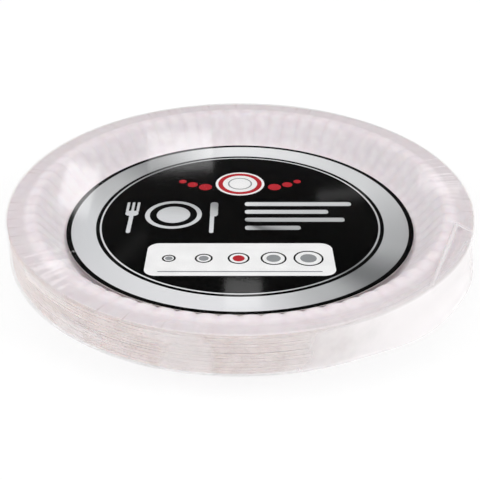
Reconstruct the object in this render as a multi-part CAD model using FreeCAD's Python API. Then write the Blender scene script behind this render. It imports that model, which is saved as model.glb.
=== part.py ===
"""A shrink-wrapped stack of round paper plates with fluted walls and a round label.

Every plate is one sheet of paper board, pressed between matched tools: a flat base, a fluted wall
and a flat flange. The plates are nested, a round card label lies in the dish of the top one, and
clear shrink film is drawn tight round the whole stack. Nothing moves.

The frame: millimetres, +Z up, origin at the centre of the underside, where the film meets the table.
"""
import FreeCAD
import Part

import math
import os

# The plate
PLATE_COUNT = 35
PLATE_DIAMETER = 180.0
PAPER_THICKNESS = 0.34      # measured straight down, the way the press tools close
DISH_DEPTH = 11.5           # from the flange down to the base
FLANGE_WIDTH = 7.4          # from the edge in to the outer ends of the flutes
WALL_RUN = 11.6             # how far the wall comes in on its way down to the base
TRIM_DRIFT = 0.22           # how far off the dish's centre the edge of a blank is cut

# The flutes
FLUTE_COUNT = 72
FLUTE_DEPTH = 1.2           # from valley to crest, measured level
CREST_SHARE = 0.42          # the part of a flute's pitch that its flat crest takes

# The stack
NEST_GAP = 0.095            # mean free height between one plate and the next
NEST_SWING = 0.05           # how much that gap grows and shrinks through the stack

# The label
LABEL_THICKNESS = 0.25
LABEL_MARGIN = 1.1          # from the label's edge to where the wall starts
LABEL_SLIP = 0.7            # how far the label has slid to the front
LABEL_CURL = 4.2            # how far its front edge has curled up off the base
LABEL_CURL_START = 30.0     # how far behind its middle the curl starts

# The film
FILM_THICKNESS = 0.10
FILM_SIDE_GAP = 1.2         # from the plates' nominal edge out to the film
FILM_TOP_GAP = 0.9          # from the top plate's flange up to the film
FILM_UNDER_GAP = 0.6        # from the bottom plate's flange down to where the film turns in
FILM_BEND = 1.5             # outside radius of the film where it turns over the top rim
FILM_FOOT_RUN = 0.8         # how far the film lies flat beyond the plates' bases

# Worked out from the values above
rim_radius = PLATE_DIAMETER / 2
valley_radius = rim_radius - FLANGE_WIDTH
crest_radius = valley_radius - FLUTE_DEPTH
foot_scale = 1 - WALL_RUN / valley_radius
label_radius = crest_radius * foot_scale - LABEL_MARGIN
film_foot_radius = valley_radius * foot_scale + FILM_FOOT_RUN
film_side_radius = rim_radius + FILM_SIDE_GAP + FILM_THICKNESS
film_turn_height = FILM_THICKNESS + DISH_DEPTH - FILM_UNDER_GAP

# Successive plates differ by the golden angle, so that no two neighbours look alike
GOLDEN_ANGLE = math.radians(137.5)

UP = FreeCAD.Vector(0, 0, 1)


def point(radius, angle, height):
    """A point on a ring round the Z axis, with the angle in radians."""
    return FreeCAD.Vector(radius * math.cos(angle), radius * math.sin(angle), height)


def nest_gap(step):
    """The free height between plate number step and the one above it."""
    return NEST_GAP + NEST_SWING * math.sin(step * GOLDEN_ANGLE)


def plate_height(number):
    """The height of the underside of a plate's base, counting plates from 1 at the bottom."""
    gaps = sum(nest_gap(step) for step in range(1, number))
    return FILM_THICKNESS + (number - 1) * PAPER_THICKNESS + gaps


def flute_corners(scale, height):
    """The outline that the flutes cut in a level plane: a flat crest and a sharp valley in turn.

    The outlines at the base and at the flange are scaled copies of each other about the Z axis,
    so every facet of the wall between them is flat."""
    pitch = 2 * math.pi / FLUTE_COUNT
    corners = []
    for flute in range(FLUTE_COUNT):
        centre = flute * pitch
        half_crest = CREST_SHARE * pitch / 2
        corners.append(point(crest_radius * scale, centre - half_crest, height))
        corners.append(point(crest_radius * scale, centre + half_crest, height))
        corners.append(point(valley_radius * scale, centre + pitch / 2, height))
    return corners


def closed_outline(corners):
    return Part.makePolygon(corners + corners[:1])


def upper_faces(height, trim):
    """The upper side of a plate: base, wall facets, and the flange out to the trimmed edge."""
    low = flute_corners(foot_scale, height)
    high = flute_corners(1.0, height + DISH_DEPTH)
    faces = [Part.Face(closed_outline(low))]
    for index in range(len(low)):
        following = (index + 1) % len(low)
        facet = [low[index], low[following], high[following], high[index]]
        faces.append(Part.Face(closed_outline(facet)))
    flange_edges = Part.makeCompound([Part.Wire([trim]), closed_outline(high)])
    faces.append(Part.makeFace(flange_edges, "Part::FaceMakerBullseye"))
    return faces


def make_plate(number):
    """One plate of the stack: a pressed sheet, equally thick everywhere when measured straight down."""
    height = plate_height(number) + PAPER_THICKNESS
    trim_centre = point(TRIM_DRIFT, number * GOLDEN_ANGLE, height + DISH_DEPTH)
    trim = Part.Circle(trim_centre, UP, rim_radius).toShape()
    upper = upper_faces(height, trim)
    down = UP * -PAPER_THICKNESS
    lower = [face.translated(down) for face in upper]
    skin = Part.makeCompound(upper + lower + [trim.extrude(down)])
    skin.sewShape()
    plate = Part.Solid(skin.Shells[0])
    if plate.Volume < 0:
        plate.reverse()
    return plate


def make_label():
    """The card disc in the top plate: its back lies on the base, its front has curled up.

    It is a bent sheet, cut out by an upright cylinder. The curl is an arc in the YZ plane that
    starts level and reaches LABEL_CURL at the front edge."""
    seat = plate_height(PLATE_COUNT) + PAPER_THICKNESS
    curl_run = label_radius + LABEL_CURL_START
    curl_radius = (curl_run ** 2 + LABEL_CURL ** 2) / (2 * LABEL_CURL)
    curl_angle = math.asin((curl_run + LABEL_THICKNESS) / curl_radius)
    back = label_radius + LABEL_THICKNESS

    def curl_point(radius, angle):
        rise = curl_radius - radius * math.cos(angle)
        return FreeCAD.Vector(0, LABEL_CURL_START - radius * math.sin(angle), seat + rise)

    under = [curl_point(curl_radius, curl_angle * share) for share in (0, 0.5, 1)]
    over = [curl_point(curl_radius - LABEL_THICKNESS, curl_angle * share) for share in (1, 0.5, 0)]
    back_low = FreeCAD.Vector(0, back, seat)
    back_high = FreeCAD.Vector(0, back, seat + LABEL_THICKNESS)
    outline = [
        Part.LineSegment(back_low, under[0]),
        Part.Arc(*under),
        Part.LineSegment(under[2], over[0]),
        Part.Arc(*over),
        Part.LineSegment(over[2], back_high),
        Part.LineSegment(back_high, back_low),
    ]
    sheet = Part.Face(Part.Wire([curve.toShape() for curve in outline]))
    sheet = sheet.translated(FreeCAD.Vector(-back, 0, 0)).extrude(FreeCAD.Vector(2 * back, 0, 0))
    cutter = Part.makeCylinder(label_radius, LABEL_CURL + 2 * LABEL_THICKNESS, UP * seat)
    label = sheet.common(cutter).Solids[0]
    return label.translated(FreeCAD.Vector(0, -LABEL_SLIP, 0))


def rounded_corner(before, corner, after, radius):
    """The arc that rounds off a corner of an outline, as its first, middle and last points."""
    back = (before - corner).normalize()
    on = (after - corner).normalize()
    half_angle = back.getAngle(on) / 2
    inward = (back + on).normalize()
    reach = radius / math.tan(half_angle)
    middle = corner + inward * (radius / math.sin(half_angle) - radius)
    return corner + back * reach, middle, corner + on * reach


def film_form(inset):
    """The film's outer form, or with an inset the same form drawn in by that much on every side.

    The film lies flat under the bases, runs out to just below the bottom rim, folds up past the
    rims there, bends over the top one and spans flat over the dish."""
    slope = math.atan2(film_turn_height, film_side_radius - film_foot_radius)
    top = plate_height(PLATE_COUNT) + PAPER_THICKNESS + DISH_DEPTH + FILM_TOP_GAP + FILM_THICKNESS
    side = film_side_radius - inset
    under_centre = FreeCAD.Vector(0, 0, inset)
    foot = FreeCAD.Vector(film_foot_radius - inset * math.tan(slope / 2), 0, inset)
    turn = FreeCAD.Vector(side, 0, film_turn_height + inset * math.tan((math.pi / 2 - slope) / 2))
    brow = FreeCAD.Vector(side, 0, top - inset)
    top_centre = FreeCAD.Vector(0, 0, top - inset)
    brow_arc = rounded_corner(turn, brow, top_centre, FILM_BEND - inset)
    outline = [
        Part.LineSegment(under_centre, foot),
        Part.LineSegment(foot, turn),
        Part.LineSegment(turn, brow_arc[0]),
        Part.Arc(*brow_arc),
        Part.LineSegment(brow_arc[2], top_centre),
        Part.LineSegment(top_centre, under_centre),
    ]
    profile = Part.Face(Part.Wire([curve.toShape() for curve in outline]))
    return profile.revolve(FreeCAD.Vector(), UP, 360)


def make_film():
    """The closed skin of clear shrink film."""
    return film_form(0).cut(film_form(FILM_THICKNESS))


def main():
    os.makedirs("parts", exist_ok=True)
    parts = {f"plate_{number:02d}": make_plate(number) for number in range(1, PLATE_COUNT + 1)}
    parts["label"] = make_label()
    parts["film_wrap"] = make_film()
    for name, shape in parts.items():
        shape.exportStep(f"parts/{name}.step")
    whole = Part.makeCompound(list(parts.values())).BoundBox
    print(f"{len(parts)} pieces, {whole.XLength:.2f} x {whole.YLength:.2f} x {whole.ZLength:.2f} mm")


main()
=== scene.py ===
# %% [markdown]
# # A shrink-wrapped stack of paper plates
#
# Thirty-five round paper plates lie nested in each other, with a round card label in the dish of
# the top one and a skin of clear film shrunk round them all. The frame holds their true sizes and
# places. This file gives them their looks: pressed paper with soft flutes, printed card, and film
# that mostly shows only where it catches a light.

# %% Load the frame and keep its box
import math

import bmesh
import bpy
import numpy as np
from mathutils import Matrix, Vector


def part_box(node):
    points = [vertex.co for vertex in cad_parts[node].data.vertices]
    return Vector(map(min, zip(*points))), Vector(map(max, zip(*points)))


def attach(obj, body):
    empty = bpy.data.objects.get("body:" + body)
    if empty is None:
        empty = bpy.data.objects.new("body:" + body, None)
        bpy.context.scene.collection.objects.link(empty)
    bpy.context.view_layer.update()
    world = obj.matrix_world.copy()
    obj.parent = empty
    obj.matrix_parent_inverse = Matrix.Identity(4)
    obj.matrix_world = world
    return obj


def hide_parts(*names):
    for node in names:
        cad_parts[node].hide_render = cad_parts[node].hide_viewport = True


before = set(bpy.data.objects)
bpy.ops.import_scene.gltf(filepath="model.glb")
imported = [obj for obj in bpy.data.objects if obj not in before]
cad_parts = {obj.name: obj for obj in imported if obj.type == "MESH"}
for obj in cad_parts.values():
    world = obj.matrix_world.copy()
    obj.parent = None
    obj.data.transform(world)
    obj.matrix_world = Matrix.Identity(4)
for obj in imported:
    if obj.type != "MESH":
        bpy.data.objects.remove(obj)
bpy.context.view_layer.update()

MM = 0.001
node_names = sorted(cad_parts)
plate_names = [name for name in node_names if name.startswith("plate_")]
print(f"{len(node_names)} nodes, of which {len(plate_names)} are plates")

# %% [markdown]
# ## Sizes from the frame
#
# Every height and radius that a new piece must match is read from the frame's boxes, so the pieces
# stay in place when the frame changes. A plate's box gives the underside of its base and the top of
# its flange. The values that a box can't give, such as where the flutes end, are named here.

# %% Read the sizes
PAPER = 0.34 * MM                 # thickness of the board, measured straight down
FOOT_RADIUS = 68.6 * MM           # where the flat base starts to turn up
BROW_RADIUS = 80.2 * MM           # where the wall has turned over into the flange
top_low, top_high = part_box(plate_names[-1])
bottom_low, bottom_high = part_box(plate_names[0])
film_low, film_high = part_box("film_wrap")
label_low, label_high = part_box("label")
rim_radius = (bottom_high.x - bottom_low.x) / 2
dish_depth = top_high.z - top_low.z - PAPER
film_radius = (film_high.x - film_low.x) / 2
print(f"rim radius {rim_radius / MM:.1f} mm, dish {dish_depth / MM:.1f} mm deep,"
      f" rims {(top_high.z - bottom_high.z + PAPER) / MM:.1f} mm high")

# %% [markdown]
# ## The camera
#
# The rim of a plate is a true circle, so the ellipses it makes in a picture give the camera away:
# their flattening gives the angle, and the way the far side shrinks gives the distance. The camera
# stands close, about two plate widths from the middle of the top rim, and looks a little below it.

# %% Place the camera
CAMERA_DISTANCE = 350 * MM
CAMERA_ELEVATION = math.radians(29.0)
CAMERA_DIP = math.radians(2.92)   # how far the view points below the middle of the rim
CAMERA_LENS = 66.15               # on a sensor 36 mm wide

rim_centre = Vector((0, 0, top_high.z))
camera_data = bpy.data.cameras.new("camera")
camera_data.lens = CAMERA_LENS
camera_data.sensor_width = 36
camera = bpy.data.objects.new("camera", camera_data)
bpy.context.scene.collection.objects.link(camera)
camera.location = rim_centre + CAMERA_DISTANCE * Vector(
    (0, -math.cos(CAMERA_ELEVATION), math.sin(CAMERA_ELEVATION)))
dip = CAMERA_ELEVATION + CAMERA_DIP
camera.rotation_euler = Vector((0, math.cos(dip), -math.sin(dip))).to_track_quat("-Z", "Y").to_euler()
camera_data.clip_start = 0.01
bpy.context.scene.camera = camera
print("camera at", tuple(round(value / MM) for value in camera.location), "mm")

# %% [markdown]
# ## Two small helpers
#
# Most pieces here are made of rings of points, so one function turns rings into a mesh. Building the
# arrays with NumPy keeps a mesh of a hundred thousand faces quick to make. Colours are written as
# the sRGB hex values a colour picker shows, and turned linear in one place.

# %% Rings to mesh, and hex to linear
def ring_faces(start_a, start_b, count):
    """Quads that join two rings of count points, given each ring's first index."""
    here = np.arange(count)
    following = (here + 1) % count
    return np.stack([start_a + here, start_a + following, start_b + following, start_b + here], axis=1)


def mesh_piece(name, vertices, faces, smooth_angle=None):
    """A new mesh object. Edges sharper than smooth_angle (degrees) stay sharp."""
    mesh = bpy.data.meshes.new(name)
    mesh.from_pydata(np.asarray(vertices, float).tolist(), [], [list(map(int, face)) for face in faces])
    mesh.validate()
    mesh.update()
    piece = bpy.data.objects.new(name, mesh)
    bpy.context.scene.collection.objects.link(piece)
    if smooth_angle is not None:
        mesh.shade_smooth()
        mesh.set_sharp_from_angle(angle=math.radians(smooth_angle))
    return piece


def linear(hex_colour):
    """The linear RGBA of an sRGB hex colour such as 'f4eef0'."""
    channels = [int(hex_colour[i:i + 2], 16) / 255 for i in (0, 2, 4)]
    lit = [c / 12.92 if c <= 0.04045 else ((c + 0.055) / 1.055) ** 2.4 for c in channels]
    return (*lit, 1.0)


print("white board in linear light:", [round(c, 3) for c in linear("f4eef0")[:3]])

# %% [markdown]
# ## The shape of a pressed plate
#
# A plate starts as a flat disc of board. The press turns its edge up into a wall, and the spare board
# gathers into flutes, here seventy-two of them. Each flute is a rib with a broad crest, a sharp
# valley beside it and a rounded end where it runs out on the flange. One formula gives the height of
# the board at any radius and angle, and every plate is made from it.

# %% Height of the board
FLUTE_COUNT = 72
RIB_HEIGHT = 1.3 * MM             # from valley to crest
RIB_FOOT = 69.5 * MM              # where the ribs start, at the bottom of the wall
RIB_FULL = 76.0 * MM              # where they have their full height
RIB_END = 82.5 * MM               # where their rounded ends begin
RIB_NOSE = 2.2 * MM               # how far those ends reach out
VALLEY_RISE = 75.0 * MM           # where the valleys start to rise to the flange
VALLEY_RISEN = RIB_END - 1 * MM   # and where they have reached it
CREST_SHARE = 0.30                # how much of the rib stands above the mean surface
CREST_POWER = 2.3                 # 2 makes a crest a plain arch, more makes it flatter on top


def smooth_step(values, low, high):
    share = np.clip((values - low) / (high - low), 0, 1)
    return share * share * (3 - 2 * share)


def board_height(radius, angle):
    """Height of the board's upper side above the flange, in metres. Takes arrays."""
    wall = -dish_depth * (1 - smooth_step(radius, FOOT_RADIUS, BROW_RADIUS))
    place = (angle * FLUTE_COUNT / (2 * math.pi)) % 1.0
    across = np.abs(place * 2 - 1)      # 0 on a crest, 1 in a valley
    past_end = np.clip((radius - RIB_END) / RIB_NOSE, 0, None)
    from_crest = np.minimum(np.sqrt(across ** 2 + past_end ** 2), 1)
    strength = RIB_HEIGHT * smooth_step(radius, RIB_FOOT, RIB_FULL)
    rib = 1 - from_crest ** CREST_POWER
    sink = (1 - CREST_SHARE) * (1 - smooth_step(radius, VALLEY_RISE, VALLEY_RISEN))
    return wall + strength * (rib * (CREST_SHARE + sink) - sink)


probe = board_height(np.array([60, 72, 76, 80, 86]) * MM, np.zeros(5) + math.pi / FLUTE_COUNT)
print("crest heights at 60, 72, 76, 80 and 86 mm out:", (probe / MM).round(2), "mm")

# %% [markdown]
# ## How the stack has settled
#
# A real stack isn't ruled. Blanks are trimmed a little off centre, rims warp as the board dries, and
# the plates lie in bundles that part where the stack was gripped. Small smooth shifts of the outer
# rim give all of that. Neighbouring rims shift nearly alike or part, so they stay in order.

# %% Warp of the rims
rng = np.random.default_rng(35)
RIM_WAVE = 0.07 * MM              # warp of one rim
WAVE_BUNDLE = 7                   # plates over which one warp turns into the next
wave_phases = rng.uniform(0, 2 * math.pi, (len(plate_names) // WAVE_BUNDLE + 3, 4))
# Where bundles part: plate below the gap, direction in degrees, width in degrees, size of the gap
BUNDLE_GAPS = (
    (7, -150, 46, 0.30 * MM),
    (14, -128, 40, 0.26 * MM),
    (19, -70, 50, 0.16 * MM),
    (25, -140, 60, 0.26 * MM),
    (30, 35, 60, 0.22 * MM),
    (22, 130, 50, 0.26 * MM),
)


def warp(angle, number):
    """How far the edge of a plate lies above its flat place, by angle. Plates count from 0."""
    first = number // WAVE_BUNDLE
    blend = smooth_step(np.array(number / WAVE_BUNDLE - first), 0, 1)
    lift = np.zeros_like(angle)
    for order in range(4):
        for bundle, weight in ((first, 1 - blend), (first + 1, blend)):
            lift += weight * RIM_WAVE / 2 * np.cos((order + 2) * angle + wave_phases[bundle, order])
    for below, direction, width, size in BUNDLE_GAPS:
        off = (np.degrees(angle) - direction + 180) % 360 - 180
        side = 0.5 if number >= below else -0.5
        lift += side * size * np.exp(-(off / width) ** 2 * 2)
    return lift


ring = np.linspace(0, 2 * math.pi, 360, endpoint=False)
spread = [warp(ring, number) for number in range(len(plate_names))]
print(f"rims lie {np.min(spread) / MM:.2f} to {np.max(spread) / MM:.2f} mm off their flat places")

# %% [markdown]
# ## Building the plates
#
# A plate is its upper side, the same surface again one board thickness lower, and the cut edge that
# joins them. The top and bottom plates show their flutes, so they get ten points round each flute
# and close rings. Of the others only the edges show, so they get fewer, with closer rings on the
# two that lie next to a fine one and must not poke through it. The knife that cut the blanks left a
# burr on each edge, which nearly closes the gap to the plate below, so a side shows only faint lines.

# %% Plate meshes
FINE_ROUND = 10                   # points round one flute, on a plate whose flutes show
PLAIN_ROUND = 6
TRIM_DRIFT = 0.13 * MM            # how far off centre a blank is trimmed
DRIFT_TURN = 2.4                  # radians from one plate's drift to the next one's
BURR_SHARE = 0.95                 # how much of the gap to the plate below the burr closes
EDGE_START = 85.0 * MM            # the flange outside this can warp
FINE_RINGS = np.concatenate([
    [20, 40, 56, 64, 67], np.arange(68, 84.6, 0.5), [85.2, 86, 87, 88, 89, 89.6, 90]]) * MM
NEXT_RINGS = np.concatenate([[30, 60], np.arange(67, 85, 1.0), [85.2, 90]]) * MM
PLAIN_RINGS = np.array([30, 66, 70, 73.5, 77, 80.5, 85.2, 90]) * MM


def plate_piece(number):
    """One plate, made ring by ring. Plates count from 0 at the bottom."""
    name = plate_names[number]
    from_end = min(number, len(plate_names) - 1 - number)
    rings = (FINE_RINGS, NEXT_RINGS, PLAIN_RINGS)[min(from_end, 2)]
    count = FLUTE_COUNT * (PLAIN_ROUND if from_end else FINE_ROUND)
    angle = np.linspace(0, 2 * math.pi, count, endpoint=False)
    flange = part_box(name)[1].z
    gap_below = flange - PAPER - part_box(plate_names[number - 1])[1].z if number else 0
    drift = TRIM_DRIFT * np.cos(angle - number * DRIFT_TURN)
    upper = [[0, 0, flange - dish_depth]]
    for radius in rings:
        out = np.clip((radius - EDGE_START) / (rim_radius - EDGE_START), 0, 1)
        reach = radius + out * drift
        height = flange + board_height(np.full(count, radius), angle) + out * warp(angle, number)
        upper.extend(np.stack([reach * np.cos(angle), reach * np.sin(angle), height], axis=1))
    upper = np.array(upper)
    lower = upper - [0, 0, PAPER]
    lower[-count:, 2] -= BURR_SHARE * gap_below
    size = len(upper)
    faces = []
    for ring_number in range(len(rings) - 1):
        start = 1 + ring_number * count
        up = ring_faces(start, start + count, count)[:, ::-1]
        faces += up.tolist() + (up[:, ::-1] + size).tolist()
    for index in range(count):
        following = (index + 1) % count
        faces.append([0, 1 + index, 1 + following])
        faces.append([size, size + 1 + following, size + 1 + index])
    edge = 1 + (len(rings) - 1) * count
    faces += ring_faces(edge, edge + size, count)[:, ::-1].tolist()
    piece = mesh_piece("paper_" + name, np.concatenate([upper, lower]), faces, smooth_angle=50)
    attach(piece, "root")
    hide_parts(name)
    return piece


plates = [plate_piece(number) for number in range(len(plate_names))]
print(f"{len(plates)} plates, {sum(len(p.data.polygons) for p in plates)} faces")

# %% [markdown]
# ## Adding nodes
#
# A material is a small graph of nodes. One function adds any node, gives it its settings, and links
# its inputs, so each material below reads as a list of what feeds what.

# %% A node with its settings and links
def add(tree, kind, links=None, values=None, stops=(), **settings):
    """Adds a node. settings are its properties, values set its inputs, links join sockets to them.

    kind is its type without the ShaderNode in front. A node in links stands for its first output.
    stops are the (place, colour) pairs of a colour ramp."""
    node = tree.nodes.new("ShaderNode" + kind)
    for _ in stops[2:]:
        node.color_ramp.elements.new(0.5)
    for index, (place, colour) in enumerate(stops):
        node.color_ramp.elements[index].position = place
        node.color_ramp.elements[index].color = colour
    for key, value in settings.items():
        setattr(node, key, value)
    for key, value in (values or {}).items():
        node.inputs[key].default_value = value
    for key, source in (links or {}).items():
        tree.links.new(source.outputs[0] if hasattr(source, "outputs") else source, node.inputs[key])
    return node


def new_material(name):
    """A material with an empty graph, and its output node."""
    material = bpy.data.materials.new(name)
    material.use_nodes = True
    material.node_tree.nodes.clear()
    return material, material.node_tree, add(material.node_tree, "OutputMaterial")


def around_stack(tree, place):
    """A point's X, Y and Z, its direction round the stack, its place in plan, and its radius."""
    parts = add(tree, "SeparateXYZ", {"Vector": place})
    turn = add(tree, "Math", {0: parts.outputs["Y"], 1: parts.outputs["X"]}, operation="ARCTAN2")
    flat = add(tree, "CombineXYZ", {"X": parts.outputs["X"], "Y": parts.outputs["Y"]})
    radius = add(tree, "VectorMath", {0: flat}, operation="LENGTH")
    return parts, turn, flat, radius.outputs["Value"]


print("the node helpers are ready")

# %% [markdown]
# ## Paper board
#
# Plain white plates are bleached board, calendered but not glossy: rough, a little blotchy where the
# fibres clump, and slightly see-through, so light softens in the thin cut edges. The fibre scale of
# real board is about 0.3 mm. That is finer than a pixel here, so the clumps are drawn about 4 mm
# wide. The cut edge shows the raw core, warmer and darker than the faces.

# %% Board: the faces and the cut edge
FIBRE_CLUMP = 4.0 * MM
CORE_STREAK = 6.0 * MM
EDGE_LEVEL = 0.3                  # a normal that rises less than this belongs to the cut edge


def face_and_edge(tree, place):
    """The tone of the board: blotchy on its faces, streaky and warmer on the cut edge."""
    clumps = add(tree, "TexNoise", {"Vector": place}, {"Scale": 1 / FIBRE_CLUMP, "Detail": 3.0})
    face = add(tree, "ValToRGB", {"Fac": clumps},
               stops=[(0.35, linear("eee4e8")), (0.65, linear("f5edf0"))])
    streaks = add(tree, "TexNoise", {"Vector": place}, {"Scale": 1 / CORE_STREAK, "Detail": 4.0})
    core = add(tree, "ValToRGB", {"Fac": streaks},
               stops=[(0.35, linear("dccfca")), (0.65, linear("eadfdb"))])
    # the cut edge is where the surface faces sideways, which the flutes never do
    geometry = add(tree, "NewGeometry")
    normal = add(tree, "SeparateXYZ", {"Vector": geometry.outputs["Normal"]})
    level = add(tree, "Math", {0: normal.outputs["Z"]}, operation="ABSOLUTE")
    is_edge = add(tree, "Math", {0: level}, {1: EDGE_LEVEL}, operation="LESS_THAN")
    mix = add(tree, "Mix", {"Factor": is_edge, 6: face, 7: core}, data_type="RGBA")
    return mix.outputs[2]


print(f"clumps drawn {FIBRE_CLUMP / MM:.0f} mm wide, streaks of the core {CORE_STREAK / MM:.0f} mm")

# %% [markdown]
# The valleys of the flutes are painted a little darker, as painted shade, and the flange is painted a
# shade greyer, also as painted shade. Both follow the radius and direction that shaped the mesh, so
# the tone can't slide off the form.

# %% Board: painted shade in the valleys and on the flange
VALLEY_SHADE = 0.08             # how much painted shade a valley takes
FLANGE_SHADE = 0.36             # how much painted shade the flange takes
FLANGE_START = 84.6 * MM          # the flange is flat outside this radius


def painted_shade_tone(tree, colour, turn, radius):
    """Paints shade into the valleys on the wall and onto the flange."""
    phase = add(tree, "Math", {0: turn}, {1: FLUTE_COUNT}, operation="MULTIPLY")
    wave = add(tree, "Math", {0: phase}, operation="COSINE")
    # painted shade: the valleys darken towards a greyer tone
    valley_shade = add(tree, "MapRange", {"Value": wave}, {
        "From Min": -0.3, "From Max": 1.0, "To Min": 0.0, "To Max": VALLEY_SHADE})
    middle, reach = (RIB_FOOT + RIB_END) / 2, (RIB_END - RIB_FOOT) / 2
    off = add(tree, "Math", {0: radius}, {1: -middle}, operation="ADD")
    off = add(tree, "Math", {0: off}, operation="ABSOLUTE")
    on_wall = add(tree, "MapRange", {"Value": off}, {
        "From Min": reach - 1 * MM, "From Max": reach + 2 * MM, "To Min": 1.0, "To Max": 0.0})
    valley_shade_on_wall = add(tree, "Math", {0: valley_shade, 1: on_wall}, operation="MULTIPLY")
    shaded = add(tree, "Mix", {"Factor": valley_shade_on_wall, 6: colour}, {7: linear("bfb1b8")}, data_type="RGBA")
    # painted shade: the flange is greyed
    flange_shade = add(tree, "MapRange", {"Value": radius}, {
        "From Min": RIB_END, "From Max": FLANGE_START, "To Min": 0.0, "To Max": FLANGE_SHADE})
    greyed = add(tree, "Mix", {"Factor": flange_shade, 6: shaded.outputs[2]},
                 {7: linear("c4bcbe")}, data_type="RGBA")
    return greyed.outputs[2]


print(f"valleys dulled by {VALLEY_SHADE:.0%}, flange greyed by {FLANGE_SHADE:.0%}")

# %% [markdown]
# Where the press has crushed spare board, short creases run in from the edge. A crease is a line of
# constant direction, so a noise read along the direction places them: there is a line wherever the
# noise passes its middle value. Each plate reads another stretch of that noise.

# %% Board: the creases
CREASE_RATE = 9.0                 # how fast the noise is read round the rim
CREASE_SPREAD = 400.0             # how far apart along it two plates may start
CREASE_HALF_WIDTH = 0.012         # of a line, in the noise's own values


def creases(tree, turn, radius):
    """1 on a crease of the flange and 0 beside it, fading inwards."""
    own_place = add(tree, "Math", {0: add(tree, "ObjectInfo").outputs["Random"]},
                    {1: CREASE_SPREAD}, operation="MULTIPLY")
    around = add(tree, "Math", {0: turn, 2: own_place}, {1: CREASE_RATE}, operation="MULTIPLY_ADD")
    noise = add(tree, "TexNoise", {"W": around}, {"Scale": 3.0, "Detail": 1.0}, noise_dimensions="1D")
    black, white = (0, 0, 0, 1), (1, 1, 1, 1)
    line = add(tree, "ValToRGB", {"Fac": noise}, stops=[
        (0.5 - CREASE_HALF_WIDTH, black), (0.5, white), (0.5 + CREASE_HALF_WIDTH, black)])
    outwards = add(tree, "MapRange", {"Value": radius}, {
        "From Min": FLANGE_START, "From Max": rim_radius, "To Min": 0.0, "To Max": 1.0})
    return add(tree, "Math", {0: line, 1: outwards}, operation="MULTIPLY")


print(f"creases from {FLANGE_START / MM:.1f} to {rim_radius / MM:.1f} mm out")

# %% [markdown]
# The finish of board is a rough, plain dielectric: IOR 1.45, as paper fibres have. A little light
# runs through the surface, about half a millimetre deep. Grain and creases are low bumps, and the
# creases also get painted shade along their lines.

# %% Material: pressed board
FINE_GRAIN = 1.4 * MM
BUMP_HEIGHT = 0.04 * MM
CREASE_SHADE = 0.5
CREASE_DEPTH = 3.0                # in heights of the grain


def board_material():
    material, tree, output = new_material("pressed_white_board")
    place = add(tree, "TexCoord").outputs["Object"]
    _, turn, _, radius = around_stack(tree, place)
    tone = painted_shade_tone(tree, face_and_edge(tree, place), turn, radius)
    crease = creases(tree, turn, radius)
    # painted shade: the creases are darkened along their lines
    darker = add(tree, "Math", {0: crease}, {1: CREASE_SHADE}, operation="MULTIPLY")
    creased = add(tree, "Mix", {"Factor": darker, 6: tone}, {7: linear("b9aaa8")}, data_type="RGBA")
    grain = add(tree, "TexNoise", {"Vector": place}, {"Scale": 1 / FINE_GRAIN, "Detail": 2.0})
    height = add(tree, "Math", {0: crease, 2: grain}, {1: -CREASE_DEPTH}, operation="MULTIPLY_ADD")
    bump = add(tree, "Bump", {"Height": height}, {"Strength": 0.25, "Distance": BUMP_HEIGHT})
    shader = add(tree, "BsdfPrincipled",
                 {"Base Color": creased.outputs[2], "Normal": bump},
                 {"Roughness": 0.72, "IOR": 1.45, "Subsurface Weight": 0.12, "Subsurface Scale": 0.6 * MM})
    tree.links.new(shader.outputs[0], output.inputs["Surface"])
    return material


board = board_material()
for plate in plates:
    plate.data.materials.append(board)
print("board on", len(plates), "plates")

# %% [markdown]
# ## The label
#
# The label is a disc of coated card, black, with a broad silver band. It has curled: its back lies
# on the base of the top plate, and its front edge has risen a few millimetres. The card is a flat
# disc bent along an arc, so one function gives its height, and the print follows it too.

# %% The curl of the card
CARD = 0.25 * MM                  # thickness of the card
CURL_BEHIND_MIDDLE = 30.0 * MM    # how far behind the label's middle the curl starts
label_radius = (label_high.x - label_low.x) / 2
label_middle = (label_high.y + label_low.y) / 2
curl_rise = label_high.z - label_low.z - CARD
curl_run = label_radius + CURL_BEHIND_MIDDLE
curl_radius = (curl_run ** 2 + curl_rise ** 2) / (2 * curl_rise)


def card_height(y):
    """Height of the card's underside, for y counted from the label's middle."""
    run = np.clip(CURL_BEHIND_MIDDLE - y, 0, None)
    return label_low.z + curl_radius - np.sqrt(curl_radius ** 2 - run ** 2)


print(f"front edge {curl_rise / MM:.1f} mm up, curl radius {curl_radius / MM:.0f} mm")

# %% [markdown]
# ## Print
#
# The real print isn't copied. In its place is a plain design of the same colours and scale: a place
# setting, bars, and a panel with a row of plate sizes. Each colour is a thin layer of ink with its
# own outline, so every edge stays crisp at any distance.

# %% Flat shapes for card and print
INK = 0.015 * MM                  # height of one layer of ink above the one below
CUT_STEP = 4.0 * MM               # the shapes are cut this often, so that they can bend
INK_COLOURS = {"silver": "d4d6d8", "white": "ffffff", "red": "c03038", "grey": "9a9d9f", "black": "020202",
               "bare": "f1eee9"}
ink_names = list(INK_COLOURS)


def disc_outline(x, y, radius, points=96):
    angle = np.linspace(0, 2 * math.pi, points, endpoint=False)
    return np.stack([x + radius * np.cos(angle), y + radius * np.sin(angle)], axis=1)


def panel_outline(x, y, width, height, corner, points=10):
    """A rectangle with round corners, centred on x, y."""
    outline = []
    for turn, (sx, sy) in enumerate(((1, 1), (-1, 1), (-1, -1), (1, -1))):
        angle = np.linspace(turn * math.pi / 2, (turn + 1) * math.pi / 2, points)
        cx, cy = x + sx * (width / 2 - corner), y + sy * (height / 2 - corner)
        outline.append(np.stack([cx + corner * np.cos(angle), cy + corner * np.sin(angle)], axis=1))
    return np.concatenate(outline)


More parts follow.
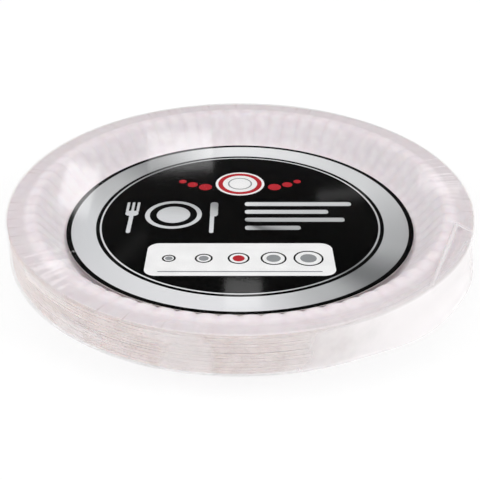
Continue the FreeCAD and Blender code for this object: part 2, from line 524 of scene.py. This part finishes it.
class Sheets:
    """Collects flat shapes, in millimetres from the label's middle, with an ink for each face."""

    def __init__(self):
        self.vertices, self.faces, self.inks = [], [], []

    def ring(self, outline, height):
        start = len(self.vertices)
        self.vertices += [(x * MM, y * MM, height) for x, y in outline]
        return start

    def fill(self, outline, ink, layer):
        start = self.ring(outline, layer * INK)
        self.faces.append(list(range(start, start + len(outline))))
        self.inks.append(ink)

    def band(self, x, y, outer, inner, ink, layer, points=240):
        first = self.ring(disc_outline(x, y, inner, points), layer * INK)
        second = self.ring(disc_outline(x, y, outer, points), layer * INK)
        self.faces += ring_faces(first, second, points)[:, ::-1].tolist()
        self.inks += [ink] * points

    def bend(self, name, base):
        """The mesh, cut into strips and laid on the card's curve, base above its underside."""
        piece = mesh_piece(name, self.vertices, self.faces)
        for face, ink in zip(piece.data.polygons, self.inks):
            face.material_index = ink_names.index(ink)
        work = bmesh.new()
        work.from_mesh(piece.data)
        for cut in np.arange(-label_radius, CURL_BEHIND_MIDDLE, CUT_STEP):
            bmesh.ops.bisect_plane(work, geom=work.verts[:] + work.edges[:] + work.faces[:],
                                   plane_co=(0, cut, 0), plane_no=(0, 1, 0))
        for vertex in work.verts:
            vertex.co.z += base + float(card_height(vertex.co.y))
            vertex.co.y += label_middle
        work.to_mesh(piece.data)
        work.free()
        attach(piece, "root")
        return piece


print("inks:", ", ".join(ink_names))

# %% The card
card_sheets = Sheets()
edge = disc_outline(0, 0, label_radius / MM, 360)
card_sheets.fill(edge, "bare", 0)
card_sheets.faces[-1] = card_sheets.faces[-1][::-1]
upper = card_sheets.ring(edge, CARD)
card_sheets.faces.append(list(range(upper, upper + len(edge))))
card_sheets.faces += ring_faces(0, upper, len(edge)).tolist()
card_sheets.inks += ["black"] + ["bare"] * len(edge)
card = card_sheets.bend("label_card", 0)
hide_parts("label")
print(f"card {2 * label_radius / MM:.0f} mm across, {len(card.data.polygons)} faces")

# %% [markdown]
# The design is laid out in millimetres from the label's middle, so it can be checked against a ruler.
# First come the broad silver band, a thin ring inside it, and a small plate with red dots at its sides.

# %% Print: rings, and a small plate at the top
RED_DOTS = ((14.8, 28, 2.8), (20.4, 30.2, 2.2), (24.8, 33, 1.6))    # those at the right: x, y, radius
TOP_PLATE_Y = 31
edge_radius = label_radius / MM
design = Sheets()
design.band(0, 0, edge_radius - 1.9, edge_radius - 11.5, "silver", 1)
design.band(0, 0, edge_radius - 13.0, edge_radius - 13.7, "silver", 1)
design.fill(disc_outline(0, TOP_PLATE_Y, 10.5), "white", 1)
design.band(0, TOP_PLATE_Y, 9.4, 7.4, "red", 2)
design.band(0, TOP_PLATE_Y, 5.2, 4.6, "grey", 2)
for side in (-1, 1):
    for x, y, size in RED_DOTS:
        design.fill(disc_outline(side * x, y, size, 48), "red", 1)
print(f"two rings, a plate and {2 * len(RED_DOTS)} dots")

# %% [markdown]
# A fork and a knife lie beside a plate at the left, as on a place mat. Bars of uneven length stand at
# the right, where a real label has its words.

# %% Print: a place setting and bars
SETTING = (-27, 4)                # middle of the plate in the place setting
FORK_X = -44
BAR_LENGTHS = (44, 34, 40, 22)
BAR_START, BAR_TOP, BAR_STEP = 2, 13.0, 6.6
design.band(*SETTING, 11.5, 9.6, "silver", 1)
design.fill(disc_outline(*SETTING, 6.8), "silver", 1)
for tine in (-2.1, 0.0, 2.1):
    design.fill(panel_outline(FORK_X + tine, 10.5, 1.1, 8.0, 0.5), "silver", 1)
design.fill(panel_outline(FORK_X, 5.2, 5.3, 4.2, 1.9), "silver", 1)
design.fill(panel_outline(FORK_X, -3.4, 1.7, 15.0, 0.8), "silver", 1)
design.fill(panel_outline(-10.6, 8.6, 3.2, 12.0, 1.5), "silver", 1)
design.fill(panel_outline(-11.3, -3.6, 1.7, 14.6, 0.8), "silver", 1)
for step, length in enumerate(BAR_LENGTHS):
    design.fill(panel_outline(BAR_START + length / 2, BAR_TOP - step * BAR_STEP, length, 3.3, 1.2),
                "silver", 1)
print(f"a place setting and {len(BAR_LENGTHS)} bars")

# %% [markdown]
# Last comes the white panel in front, with a rule and a row of plates that grow by even steps. The
# finished design is then bent to the card and laid on it.

# %% Print: the white panel, and bending it all
PLATE_SIZES = 5                   # plates drawn in the panel
SMALLEST, GROWTH, SPACING = 2.6, 0.75, 13.0
ROW_START, ROW_Y = -26.5, -30.4
design.fill(panel_outline(0, -31, 70, 24, 4.5, 14), "white", 1)
design.fill(panel_outline(0, -40.0, 60, 0.7, 0.3), "grey", 2)
for step in range(PLATE_SIZES):
    outer = SMALLEST + GROWTH * step
    x = ROW_START + step * SPACING
    design.band(x, ROW_Y, outer, outer - 0.7, "black", 2, 72)
    design.fill(disc_outline(x, ROW_Y, outer * 0.55, 48), "red" if step == 2 else "grey", 2)

label_print = design.bend("label_print", CARD)
print(f"{len(label_print.data.polygons)} printed faces")

# %% [markdown]
# ## Printed card
#
# Coated card under ink is satin: the coat has an IOR near 1.5 and is rougher than glass. Here the film
# gives the shine, so the card keeps only a trace of its own. Black ink soaks up nearly everything.
# The silver is a grey with a painted reflection: a sweep of tones, as if light ran round a brushed
# ring, so its tone drifts with the direction from the label's middle.

# %% Materials: inks on coated card
# Painted reflection on the silver, by the share of a turn counted from the left: bright in front and
# behind
SILVER_SHEEN = ((0.0, "dbdddf"), (0.25, "ebecee"), (0.33, "babcbd"), (0.38, "7c7e7f"), (0.45, "b8babb"),
         (0.6, "dddfe0"), (0.76, "f0f2f3"), (0.86, "9a9c9d"), (0.93, "c6c8c9"), (1.0, "dbdddf"))
INK_MOTTLE = 9.0 * MM             # size of the faint cloudiness of a printed field


def ink_material(ink):
    material, tree, output = new_material("ink_" + ink)
    place = add(tree, "TexCoord").outputs["Object"]
    mottle = add(tree, "TexNoise", {"Vector": place}, {"Scale": 1 / INK_MOTTLE, "Detail": 2.0})
    full = linear(INK_COLOURS[ink])
    thin = tuple(0.93 * channel for channel in full[:3]) + (1,)
    tone = add(tree, "ValToRGB", {"Fac": mottle}, stops=[(0.3, thin), (0.7, full)])
    # the silver's tone is a painted reflection, swept round by direction
    if ink == "silver":
        _, turn, _, _ = around_stack(tree, place)
        share = add(tree, "MapRange", {"Value": turn}, {"From Min": -math.pi, "From Max": math.pi})
        tone = add(tree, "ValToRGB", {"Fac": share},
                   stops=[(at, linear(hex_colour)) for at, hex_colour in SILVER_SHEEN])
        tone.color_ramp.interpolation = "EASE"
    rough = add(tree, "MapRange", {"Value": mottle}, {"To Min": 0.3, "To Max": 0.4})
    shader = add(tree, "BsdfPrincipled",
                 {"Base Color": tone, "Roughness": rough},
                 {"IOR": 1.5, "Specular IOR Level": 0.02})
    tree.links.new(shader.outputs[0], output.inputs["Surface"])
    return material


for ink in ink_names:
    material = ink_material(ink)
    card.data.materials.append(material)
    label_print.data.materials.append(material)
print(len(ink_names), "inks")

# %% [markdown]
# ## The shrink film
#
# Shrink film is a flat tube that hot air pulls tight. It runs from rim to rim over the dish, turns
# sharply over the top plate, stays clear of the rims here and there, and gathers in fine puckers
# where it had too much length. It could be a cloth simulation, but a film this tight is easier to
# draw as a profile swept round the stack, with small waves and folds added along its normal. It has
# two walls, so that it is a closed skin with a true thickness.

# %% Profile of the film
FILM_WALL = 0.10 * MM
FILM_FOOT_RADIUS = 71.8 * MM      # where it leaves the table
FILM_TURN_HEIGHT = 11.0 * MM      # where it folds up past the rims
FILM_BEND = 1.5 * MM              # radius of the turn over the top rim
OUTER_ROUND, INNER_ROUND = 960, 360  # points round the outer and the inner wall
UNDER_ROWS = (0, 25, 50, 66)      # radii of the rows under the stack, in millimetres
# Rows on the top, in millimetres in from the bend, closer together where the puckers and folds lie
TOP_ROWS = np.concatenate([np.arange(0.6, 13, 0.8), np.arange(14, 34, 2.0), np.arange(36, 86, 6.0)])


def film_profile(inset, fine):
    """Radius, height and normal of the film's rows, from the middle of its foot to that of its top."""
    bend_centre = np.array([film_radius - FILM_BEND, film_high.z - FILM_BEND])
    slope = math.atan2(FILM_TURN_HEIGHT, film_radius - FILM_FOOT_RADIUS)
    rows = []
    for radius in UNDER_ROWS:
        rows.append((radius * MM, inset, 0, -1))
    for share in np.linspace(0, 1, 9 if fine else 5):
        radius = FILM_FOOT_RADIUS + (film_radius - FILM_FOOT_RADIUS) * share
        rows.append((radius - inset * math.sin(slope), FILM_TURN_HEIGHT * share + inset * math.cos(slope),
                     math.sin(slope), -math.cos(slope)))
    for height in np.linspace(FILM_TURN_HEIGHT, bend_centre[1], 15 if fine else 8)[1:]:
        rows.append((film_radius - inset, height, 1, 0))
    for turn in np.linspace(0, math.pi / 2, 9 if fine else 5)[1:]:
        reach = FILM_BEND - inset
        rows.append((bend_centre[0] + reach * math.cos(turn), bend_centre[1] + reach * math.sin(turn),
                     math.cos(turn), math.sin(turn)))
    for inward in (TOP_ROWS if fine else TOP_ROWS[::3]):
        rows.append((bend_centre[0] - inward * MM, film_high.z - inset, 0, 1))
    return np.array(rows)


outer_rows = film_profile(0, True)
print(f"{len(outer_rows)} rows from the foot to the top")

# %% [markdown]
# The folds are named in millimetres on the plates, as they could be measured on the pack: a pinched
# fold runs over the brow at the right, and below it the film hangs slack, lower than elsewhere.

# %% Puckers, billows and folds
MEAN_DEPTH = 0.32 * MM            # they all lie this far inside the plain form, or less
PUCKER_HEIGHT, PUCKER_REACH = 0.004 * MM, 7 * MM    # fine waves, fading away from the brow
BILLOW_HEIGHT, BILLOW_REACH = 0.04 * MM, 9 * MM     # broad waves, fading away from their middle
BILLOW_DROP = 8 * MM              # how far below the brow that middle lies
BILLOW_TWIST = 6 * MM             # the height over which a billow leans by one radian
FOLD_HALF_WIDTH = 1.1             # in millimetres, as the ends of the folds are
FOLD_DROP = 2 * MM                # how far below the brow a fold still shows
FOLDS = (                         # pinched ridges: two ends (x, y), height, how milky they are, partly as painted highlight
    ((80.9, -24.0), (64.7, -63.1), 0.30, 0.42),
    ((80.9, -24.0), (86.5, -31.1), 0.30, 0.42),
    ((-77.0, -50.0), (-60.0, -44.0), 0.15, 0.0),
)
film_rng = np.random.default_rng(7)
# Each wave has a number of crests round the stack, and a phase
PUCKERS = [(int(film_rng.integers(38, 170)), film_rng.uniform(0, 2 * math.pi)) for _ in range(9)]
BILLOWS = [(int(film_rng.integers(5, 16)), film_rng.uniform(0, 2 * math.pi)) for _ in range(4)]


def film_lift(x, y, angle, from_brow):
    """How far the film stands off its plain form, along its normal. from_brow is 0 on the brow."""
    near_brow = math.exp(-(from_brow / PUCKER_REACH) ** 2)
    on_side = math.exp(-((from_brow + BILLOW_DROP) / BILLOW_REACH) ** 2)
    lift = np.zeros_like(angle)
    for order, phase in PUCKERS:
        lift += near_brow * PUCKER_HEIGHT * np.cos(order * angle + phase)
    for order, phase in BILLOWS:
        lift += on_side * BILLOW_HEIGHT * np.cos(order * angle + phase + from_brow / BILLOW_TWIST)
    for (ax, ay), (bx, by), height, _ in FOLDS:
        along = np.array([bx - ax, by - ay])
        share = np.clip(((x / MM - ax) * along[0] + (y / MM - ay) * along[1]) / along.dot(along), 0, 1)
        off = np.hypot(x / MM - ax - share * along[0], y / MM - ay - share * along[1])
        shows = 0 if from_brow < -FOLD_DROP else 1
        lift += height * MM * np.exp(-(off / FOLD_HALF_WIDTH) ** 2) * shows
    return np.minimum(lift - MEAN_DEPTH, 0)


print(f"{len(PUCKERS)} puckers, {len(BILLOWS)} billows and {len(FOLDS)} folds")

# %% [markdown]
# Each wall is laid out row by row. The waves and folds fade out towards the table, the top sags a
# little, and at the right front the slack pushes the film's lower turn outwards and down.

# %% Slack, sag and the walls
TOP_SAG, SAG_RUN = 0.12 * MM, 50 * MM  # how far the top lies below the brow, and how far in
SLACK_DROP = 1.0 * MM             # how much lower the film hangs at the right front
SLACK_REACH = 2.3 * MM            # and how much farther out
SLACK_BAND = 4 * MM               # the slack fades over this height above and below the turn
SLACK_FROM, SLACK_TO, SLACK_SOFT = -42, -27, 24     # its directions, in degrees
FOOT_FADE, DROP_FADE = 4 * MM, 6 * MM  # heights above the table where lift and drop are whole again


def slackness(angle):
    """1 where the film hangs slack, falling to 0 over SLACK_SOFT degrees at each side."""
    degrees = np.degrees((angle + math.pi) % (2 * math.pi) - math.pi)
    return (smooth_step(degrees, SLACK_FROM - SLACK_SOFT, SLACK_FROM)
            * (1 - smooth_step(degrees, SLACK_TO, SLACK_TO + SLACK_SOFT)))


def film_wall(rows, count):
    """One wall of the film, as vertices row by row."""
    angle = np.linspace(0, 2 * math.pi, count, endpoint=False)
    slack = slackness(angle)
    brow_height = film_high.z - FILM_BEND
    vertices = []
    for radius, height, out, up in rows:
        top = up > 0.999
        inward = film_radius - FILM_BEND - radius
        from_brow = inward if top else min(0, height - brow_height)
        lift = film_lift(radius * np.cos(angle), radius * np.sin(angle), angle, from_brow)
        lift = lift * smooth_step(np.array(height), 0, FOOT_FADE)
        low = math.exp(-((height - FILM_TURN_HEIGHT) / SLACK_BAND) ** 2)
        low *= 0 if top or radius <= FILM_FOOT_RADIUS else 1
        sag = TOP_SAG * smooth_step(np.array(inward), 0, SAG_RUN) if top else 0
        reach = radius + out * lift + low * slack * SLACK_REACH
        rise = height + up * lift - sag - low * slack * SLACK_DROP * min(1, height / DROP_FADE)
        vertices.append(np.stack([reach * np.cos(angle), reach * np.sin(angle),
                                  np.zeros(count) + rise], axis=1))
    return np.concatenate(vertices)


print(f"slack from {SLACK_FROM} to {SLACK_TO} degrees, {SLACK_REACH / MM:.1f} mm farther out")

# %% [markdown]
# The two walls become one piece, each closed by a fan of triangles at its foot and at its top. The
# inner wall is coarser and its faces are turned round, so that the skin has an inside.

# %% The film's mesh
def film_piece():
    vertices, faces, walls = [], [], []
    start = 0
    for wall, (count, inset) in enumerate(((OUTER_ROUND, 0), (INNER_ROUND, FILM_WALL))):
        rows = film_profile(inset, wall == 0)[1:]
        points = film_wall(rows, count)
        vertices.append(points)
        new = np.concatenate([ring_faces(start + row * count, start + (row + 1) * count, count)
                              for row in range(len(rows) - 1)])
        last = start + len(points)
        middles = np.array([[0, 0, inset], [0, 0, points[-count:, 2].mean()]])
        vertices.append(middles)
        here = np.arange(count)
        foot = np.stack([start + (here + 1) % count, start + here, np.full(count, last)], axis=1)
        cap = np.stack([last - count + here, last - count + (here + 1) % count,
                        np.full(count, last + 1)], axis=1)
        new = new.tolist() + foot.tolist() + cap.tolist()
        faces += [face[::-1] for face in new] if wall else new
        walls += [wall] * len(new)
        start = last + 2
    piece = mesh_piece("shrink_film", np.concatenate(vertices), faces, smooth_angle=60)
    for face, wall in zip(piece.data.polygons, walls):
        face.material_index = wall
    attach(piece, "root")
    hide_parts("film_wrap")
    return piece


film = film_piece()
print(f"film: {sum(len(p.vertices) - 2 for p in film.data.polygons)} triangles")

# %% [markdown]
# ## Clear film
#
# Shrink film is clear polyolefin, drawn thin: glossy, IOR 1.5, so it mirrors about a tenth of what
# stands behind the pack at this angle and lets the rest through. Where it is gathered or creased it
# scatters light and turns milky, so its body is a mix of clear and milk, on both walls. Where the
# film shows glare, that milk is partly painted highlight. Only the outer wall has the mirror over that
# body, mixed in by Fresnel, or each highlight would come twice.

# %% Film: milk and painted highlight along the folds
def fold_milk_and_glare(tree, flat):
    """How milky the film is along each milky fold, by the distance from the fold's line. The milk is
    partly painted highlight.
    """
    milk = []
    for (ax, ay), (bx, by), _, strength in (fold for fold in FOLDS if fold[3]):
        start, along = Vector((ax, ay, 0)) * MM, Vector((bx - ax, by - ay, 0)) * MM
        from_start = add(tree, "VectorMath", {0: flat}, {1: start}, operation="SUBTRACT")
        dot = add(tree, "VectorMath", {0: from_start},
                  {1: along / along.length_squared}, operation="DOT_PRODUCT")
        share = add(tree, "Clamp", {"Value": dot.outputs["Value"]})
        foot = add(tree, "VectorMath", {"Scale": share}, {0: along}, operation="SCALE")
        off = add(tree, "VectorMath", {0: from_start, 1: foot}, operation="DISTANCE")
        line = add(tree, "MapRange", {"Value": off.outputs["Value"]}, {
            "From Min": 0.2 * FOLD_HALF_WIDTH * MM, "From Max": FOLD_HALF_WIDTH * MM,
            "To Min": strength, "To Max": 0.0})
        milk.append(line)
    return milk


print(sum(fold[3] > 0 for fold in FOLDS), "milky folds")

# %% [markdown]
# Milky fields lie where the film was gathered, on its side and brow. They are partly real haze and
# partly painted highlight, whitening the film where it shows glare. Each is a window in direction,
# height and radius with soft edges. Ripples swing its sides, because gathered film doesn't end in a
# straight line.

# %% Film: milky fields, partly painted highlight
MILK_AND_GLARE = (                         # direction, half width and soft edge in degrees,
    (-44, 13, 36, -1.0, 28.5, 89.0, 0.60),      # from and to in height, inner radius, strength
    (-102, 2.0, 6, 4.0, 28.5, 87.0, 0.22),
    (-128, 2.0, 6, 6.0, 20.0, 87.0, 0.22),
    (-138, 4.0, 6, 22.0, 28.5, 81.0, 0.22),
)
MILK_AND_GLARE_EDGE = 2.5 * MM             # over which a field fades in height and radius
RIPPLE = 14 * MM                  # size of the ripples
RIPPLE_SWING = math.radians(24)   # how far they swing a field's sides, peak to peak


def field_milk_and_glare(tree, place, parts, turn, radius):
    """How milky the film is in each field: partly real haze, partly painted highlight."""
    ripple = add(tree, "TexNoise", {"Vector": place}, {"Scale": 1 / RIPPLE, "Detail": 3.0})
    uneven = add(tree, "Math", {0: ripple, 2: turn}, {1: RIPPLE_SWING}, operation="MULTIPLY_ADD")
    milk = []
    for direction, half_width, soft, low, high, inner, strength in MILK_AND_GLARE:
        off = add(tree, "Math", {0: uneven},
                  {1: -math.radians(direction) - RIPPLE_SWING / 2}, operation="ADD")
        off = add(tree, "Math", {0: off}, operation="ABSOLUTE")
        across = add(tree, "MapRange", {"Value": off}, {
            "From Min": math.radians(half_width), "From Max": math.radians(half_width + soft),
            "To Min": strength, "To Max": 0.0}, interpolation_type="SMOOTHSTEP")
        middle, reach = (low + high) / 2 * MM, (high - low) / 2 * MM
        rise = add(tree, "Math", {0: parts.outputs["Z"]}, {1: -middle}, operation="ADD")
        rise = add(tree, "Math", {0: rise}, operation="ABSOLUTE")
        upright = add(tree, "MapRange", {"Value": rise}, {
            "From Min": reach - MILK_AND_GLARE_EDGE, "From Max": reach, "To Min": 1.0, "To Max": 0.0})
        outside = add(tree, "MapRange", {"Value": radius}, {
            "From Min": inner * MM - MILK_AND_GLARE_EDGE, "From Max": inner * MM, "To Min": 0.0, "To Max": 1.0})
        field = add(tree, "Math", {0: across, 1: upright}, operation="MULTIPLY")
        field = add(tree, "Math", {0: field, 1: outside}, operation="MULTIPLY")
        milk.append(field)
    return milk


print(len(MILK_AND_GLARE), "milky fields")

# %% [markdown]
# Where folds and fields meet, the milkier one counts. Wrinkles finer than the mesh break the mirror
# up at grazing angles on real film, so the mirror's share has an upper limit.

# %% Material: clear film
GRAZING_LIMIT = 0.3               # the greatest share that the film mirrors


def film_material(name, mirror):
    material, tree, output = new_material(name)
    place = add(tree, "TexCoord").outputs["Object"]
    parts, turn, flat, radius = around_stack(tree, place)
    # the milk of folds and fields is partly painted highlight
    milky = fold_milk_and_glare(tree, flat) + field_milk_and_glare(tree, place, parts, turn, radius)
    total = milky[0]
    for share in milky[1:]:
        total = add(tree, "Math", {0: total, 1: share}, operation="MAXIMUM")
    clear = add(tree, "BsdfTransparent")
    milk = add(tree, "BsdfPrincipled", values={
        "Base Color": linear("f6f3f4"), "Roughness": 0.5, "IOR": 1.5})
    surface = add(tree, "MixShader", {"Fac": total, 1: clear, 2: milk})
    if mirror:
        gloss = add(tree, "BsdfPrincipled", values={
            "Base Color": (1, 1, 1, 1), "Metallic": 1.0, "Roughness": 0.06})
        fresnel = add(tree, "Fresnel", values={"IOR": 1.5})
        mirrored = add(tree, "Math", {0: fresnel}, {1: GRAZING_LIMIT}, operation="MINIMUM")
        surface = add(tree, "MixShader", {"Fac": mirrored, 1: surface, 2: gloss})
    tree.links.new(surface.outputs[0], output.inputs["Surface"])
    return material


film.data.materials.append(film_material("clear_shrink_film", True))
film.data.materials.append(film_material("film_inner_face", False))
print("film:", len(film.data.materials), "materials")

# %% [markdown]
# ## Light
#
# White board on a white ground needs even light. Two large soft lamps stand at the sides, half high,
# with a weaker one low in front and one overhead. The sky is white low down and overhead but dark
# between, because the film mirrors that middle band over the black label, and a photographer would
# hang a black cloth there. The film doesn't mirror the side lamps either, as if they were flagged
# off it. Small soft boxes behind the pack put the highlights on the film.

# %% Lamps
def lamp(name, place, target, size, level, roll=0.0, mirrored=True):
    """An area lamp aimed at target. level is its radiance, where 1 is white. Sizes are in metres.

    mirrored says whether a glossy surface shows the lamp."""
    data = bpy.data.lights.new(name, "AREA")
    data.shape = "RECTANGLE"
    data.size, data.size_y = size
    data.energy = level * math.pi * size[0] * size[1]
    light = bpy.data.objects.new(name, data)
    bpy.context.scene.collection.objects.link(light)
    light.location = place
    light.rotation_euler = (Vector(target) - Vector(place)).to_track_quat("-Z", "Y").to_euler()
    light.rotation_euler.rotate_axis("Z", roll)
    light.visible_camera = False
    light.visible_glossy = mirrored
    return light


lamp("left_soft_box", (-1.4, -0.3, 0.8), rim_centre, (0.9, 0.9), 5.2, mirrored=False)
lamp("right_soft_box", (1.4, -0.55, 0.8), rim_centre, (0.9, 0.8), 7.2, mirrored=False)
lamp("front_low_box", (-0.3, -1.8, 0.5), rim_centre, (1.2, 0.7), 1.6)
lamp("overhead_soft_box", (0.0, 0.1, 1.6), rim_centre, (1.2, 0.9), 0.8)
print(len(bpy.data.lights), "large lamps")

# %% [markdown]
# A highlight is a small soft box that the flat top of the film mirrors. Each one stands on the line
# from the camera's mirror image through a named spot on the film, so the camera sees it at that spot.

# %% Highlights
MIRRORED_CAMERA = Vector((camera.location.x, camera.location.y, 2 * film_high.z - camera.location.z))
BOX_DISTANCE = 1.5                # metres from the pack to a highlight's soft box
HIGHLIGHTS = (                    # on the film: centre (x, y), width, depth in mm, turn, level
    ("back", (-25.5, 35.5), 27.6, 32, 0, 1.3),
    ("left", (-63.5, 3), 13, 38, -24, 2.4),
    ("right", (79, 7), 16, 13, 0, 1.5),
    ("left_front", (-66.5, -56), 20, 11, 35, 2.0),
    ("right_streak", (40, -1), 19, 7, 10, 0.5),
    ("left_streak", (-39, -40), 16, 7, 40, 0.1),
    ("front_streak", (1, -66), 12, 18, 0, 1.2),
)
for name, (x, y), width, depth, degrees, level in HIGHLIGHTS:
    spot = Vector((x * MM, y * MM, film_high.z))
    ray = spot - MIRRORED_CAMERA
    scale = (ray.length + BOX_DISTANCE) / ray.length
    size = (width * MM * scale, depth * MM * scale * ray.normalized().z)
    lamp(name + "_highlight_box", MIRRORED_CAMERA + ray * scale, spot, size, level,
         math.radians(degrees))
print(len(bpy.data.lights), "lamps in all")

# %% [markdown]
# The sky is seen in three ways: plain white by the camera, as bands by whatever is glossy, and as
# one even level by everything else.

# %% The sky
DOME = 0.60                       # the sky's even level for diffuse light
DARK = 0.004                      # the black cloth that the film mirrors
# Sines of heights above the horizon: white up to 14 degrees and from 53 up, dark from 20 to 43
BANDS = ((0.24, 1.0), (0.34, DARK), (0.68, DARK), (0.8, 1.0))
world = bpy.data.worlds.new("studio")
bpy.context.scene.world = world
world.use_nodes = True
sky = world.node_tree
sky.nodes.clear()
direction = add(sky, "SeparateXYZ", {"Vector": add(sky, "TexCoord").outputs["Generated"]})
height_share = add(sky, "MapRange", {"Value": direction.outputs["Z"]},
                   {"From Min": 0.0, "From Max": 1.0})
bands = add(sky, "ValToRGB", {"Fac": height_share},
            stops=[(height, (level, level, level, 1)) for height, level in BANDS])
light_path = add(sky, "LightPath")
lit = add(sky, "Mix", {
    "Factor": light_path.outputs["Is Glossy Ray"], 7: bands},
    {6: (DOME, DOME, DOME, 1)}, data_type="RGBA")
seen = add(sky, "Mix", {
    "Factor": light_path.outputs["Is Camera Ray"], 6: lit.outputs[2]},
    {7: (1, 1, 1, 1)}, data_type="RGBA")
glow = add(sky, "Background", {"Color": seen.outputs[2]}, {"Strength": 1.0})
add(sky, "OutputWorld", {"Surface": glow})
print(f"sky: {DOME} for diffuse light, {DARK} in the dark band")

# %% [markdown]
# The floor is a white table, a hair below the film's foot, so that the two don't flicker in each
# other. For the camera it mostly glows, so it stays white and still shows the pack's soft shadow.

# %% The floor
FLOOR_HALF = 3.0                  # metres
FLOOR_DROP = 0.05 * MM
FLOOR_GLOW = 0.82                 # the glowing share of what the camera sees of it
floor_corners = [(x * FLOOR_HALF, y * FLOOR_HALF, -FLOOR_DROP)
                 for x, y in ((-1, -1), (1, -1), (1, 1), (-1, 1))]
floor = mesh_piece("floor", floor_corners, [[0, 1, 2, 3]])
material, tree, output = new_material("white_table")
table_white = add(tree, "BsdfPrincipled", values={"Base Color": linear("fdfdfd"), "Roughness": 0.9})
glowing_white = add(tree, "Emission", values={"Color": (1, 1, 1, 1), "Strength": 1.0})
path = add(tree, "LightPath")
share = add(tree, "Math", {0: path.outputs["Is Camera Ray"]}, {1: FLOOR_GLOW}, operation="MULTIPLY")
mixed = add(tree, "MixShader", {"Fac": share, 1: table_white, 2: glowing_white})
tree.links.new(mixed.outputs[0], output.inputs["Surface"])
floor.data.materials.append(material)
bpy.context.scene.view_settings.view_transform = "Standard"
print("floor and sky are white")
